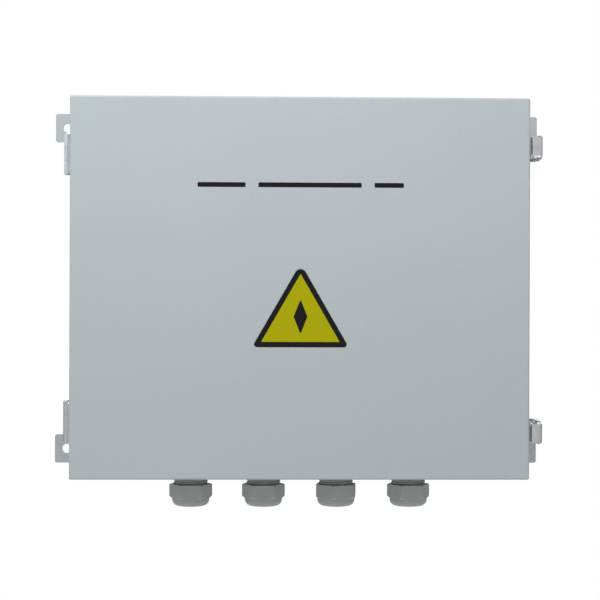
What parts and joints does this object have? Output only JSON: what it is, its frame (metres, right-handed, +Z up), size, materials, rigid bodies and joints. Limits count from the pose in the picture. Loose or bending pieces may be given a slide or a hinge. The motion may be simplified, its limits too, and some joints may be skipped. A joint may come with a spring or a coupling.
{
  "type": "dc combiner box",
  "caption": "Flat wall-mounted steel enclosure with a hinged lipped cover, side draw latches, bottom cable glands and fuse, breaker and surge gear inside.",
  "frame": {"origin": "centre of the four wall-mount holes, on the wall plane", "axes": "+X to the right, +Y into the wall, +Z up; the cover faces -Y"},
  "size_m": [0.566, 0.1503, 0.453],
  "materials": {
    "powder_coat": "light grey satin powder coat with a fine texture",
    "zinc_steel": "bright nickel-plated steel",
    "fastener_steel": "zinc-plated fasteners",
    "galvanised_sheet": "galvanised sheet steel",
    "rail_steel": "passivated zinc-plated steel",
    "gland_nylon": "mid grey moulded nylon",
    "seal_rubber": "black rubber",
    "gasket_foam": "black closed-cell foam",
    "label_film": "printed yellow film with a black border",
    "device_grey": "light grey moulded plastic",
    "drawer_plastic": "dark grey moulded plastic",
    "module_plastic": "red moulded plastic",
    "fuse_ceramic": "glazed ceramic with plated caps",
    "busbar_copper": "bare copper",
    "bar_brass": "machined brass",
    "wire_red": "red insulation",
    "wire_black": "black insulation",
    "wire_green": "green and yellow insulation"
  },
  "bodies": {
    "enclosure": {"enclosure_walls": "powder_coat", "enclosure_back": "powder_coat", "enclosure_rim": "powder_coat", "plate_studs": "fastener_steel", "mounting_ears": "powder_coat", "ear_screws": "fastener_steel", "m6_nuts": "fastener_steel", "gear_plate": "galvanised_sheet", "din_rail_upper": "rail_steel", "din_rail_lower": "rail_steel", "pan_screws": "fastener_steel", "fuse_base_1": "device_grey", "fuse_base_2": "device_grey", "fuse_base_3": "device_grey", "terminal_screws": "fastener_steel", "comb_busbar": "busbar_copper", "breaker_case": "device_grey", "surge_base": "device_grey", "earth_bar": "bar_brass", "wire_positive": "wire_red", "wire_surge_link": "wire_black", "wire_earth_link": "wire_green", "gland_bodies": "gland_nylon", "gland_nut_1": "gland_nylon", "gland_nut_2": "gland_nylon", "gland_nut_3": "gland_nylon", "gland_nut_4": "gland_nylon", "gland_seals": "seal_rubber", "gland_washers": "seal_rubber", "gland_locknuts": "gland_nylon", "body_hinge_leaf_upper": "zinc_steel", "body_hinge_leaf_lower": "zinc_steel", "hinge_pins": "zinc_steel", "pop_rivets": "zinc_steel", "latch_base_upper": "zinc_steel", "latch_base_lower": "zinc_steel", "latch_lever_pins": "zinc_steel"},
    "door": {"door_cover": "powder_coat", "door_gasket": "gasket_foam", "hazard_label": "label_film", "keeper_upper": "zinc_steel", "keeper_lower": "zinc_steel", "door_hinge_leaf_upper": "zinc_steel", "door_hinge_leaf_lower": "zinc_steel"},
    "lever_upper": {"latch_lever_upper": "zinc_steel", "latch_hook_pin_upper": "zinc_steel"},
    "hook_upper": {"latch_hook_upper": "zinc_steel"},
    "lever_lower": {"latch_lever_lower": "zinc_steel", "latch_hook_pin_lower": "zinc_steel"},
    "hook_lower": {"latch_hook_lower": "zinc_steel"},
    "fuse_carrier_1": {"fuse_drawer_1": "drawer_plastic", "fuse_link_1": "fuse_ceramic"},
    "fuse_carrier_2": {"fuse_drawer_2": "drawer_plastic", "fuse_link_2": "fuse_ceramic"},
    "fuse_carrier_3": {"fuse_drawer_3": "drawer_plastic", "fuse_link_3": "fuse_ceramic"},
    "surge_module_1": {"surge_module_1": "module_plastic"},
    "surge_module_2": {"surge_module_2": "module_plastic"},
    "surge_module_3": {"surge_module_3": "module_plastic"},
    "breaker_toggle": {"breaker_toggle": "drawer_plastic"}
  },
  "joints": [
    {"name": "door_hinge", "type": "hinge", "parent": "enclosure", "child": "door", "pos_m": [-0.255, -0.125, 0], "axis": [0, 0, -1], "range_deg": [0, 120]},
    {"name": "latch_upper_lever", "type": "hinge", "parent": "enclosure", "child": "lever_upper", "pos_m": [0.2565, -0.104, 0.156], "axis": [0, 0, -1], "range_deg": [0, 140]},
    {"name": "latch_upper_hook", "type": "hinge", "parent": "lever_upper", "child": "hook_upper", "pos_m": [0.2565, -0.095, 0.156], "axis": [0, 0, -1], "range_deg": [-157, 0]},
    {"name": "latch_lower_lever", "type": "hinge", "parent": "enclosure", "child": "lever_lower", "pos_m": [0.2565, -0.104, -0.1574], "axis": [0, 0, -1], "range_deg": [0, 140]},
    {"name": "latch_lower_hook", "type": "hinge", "parent": "lever_lower", "child": "hook_lower", "pos_m": [0.2565, -0.095, -0.1574], "axis": [0, 0, -1], "range_deg": [-157, 0]},
    {"name": "fuse_carrier_1_swing", "type": "hinge", "parent": "enclosure", "child": "fuse_carrier_1", "pos_m": [-0.128, -0.068, 0.066], "axis": [1, 0, 0], "range_deg": [0, 90]},
    {"name": "fuse_carrier_2_swing", "type": "hinge", "parent": "enclosure", "child": "fuse_carrier_2", "pos_m": [-0.1095, -0.068, 0.066], "axis": [1, 0, 0], "range_deg": [0, 90]},
    {"name": "fuse_carrier_3_swing", "type": "hinge", "parent": "enclosure", "child": "fuse_carrier_3", "pos_m": [-0.091, -0.068, 0.066], "axis": [1, 0, 0], "range_deg": [0, 90]},
    {"name": "surge_module_1_slide", "type": "slide", "parent": "enclosure", "child": "surge_module_1", "axis": [0, -1, 0], "range_m": [0, 0.045]},
    {"name": "surge_module_2_slide", "type": "slide", "parent": "enclosure", "child": "surge_module_2", "axis": [0, -1, 0], "range_m": [0, 0.045]},
    {"name": "surge_module_3_slide", "type": "slide", "parent": "enclosure", "child": "surge_module_3", "axis": [0, -1, 0], "range_m": [0, 0.045]},
    {"name": "breaker_toggle_tilt", "type": "hinge", "parent": "enclosure", "child": "breaker_toggle", "pos_m": [0.04, -0.08, 0.085], "axis": [1, 0, 0], "range_deg": [0, 70]}
  ],
  "couplings": [
    {"joint": "latch_upper_hook", "follows": "latch_upper_lever", "ratio": -1.12},
    {"joint": "latch_lower_hook", "follows": "latch_lower_lever", "ratio": -1.12}
  ]
}
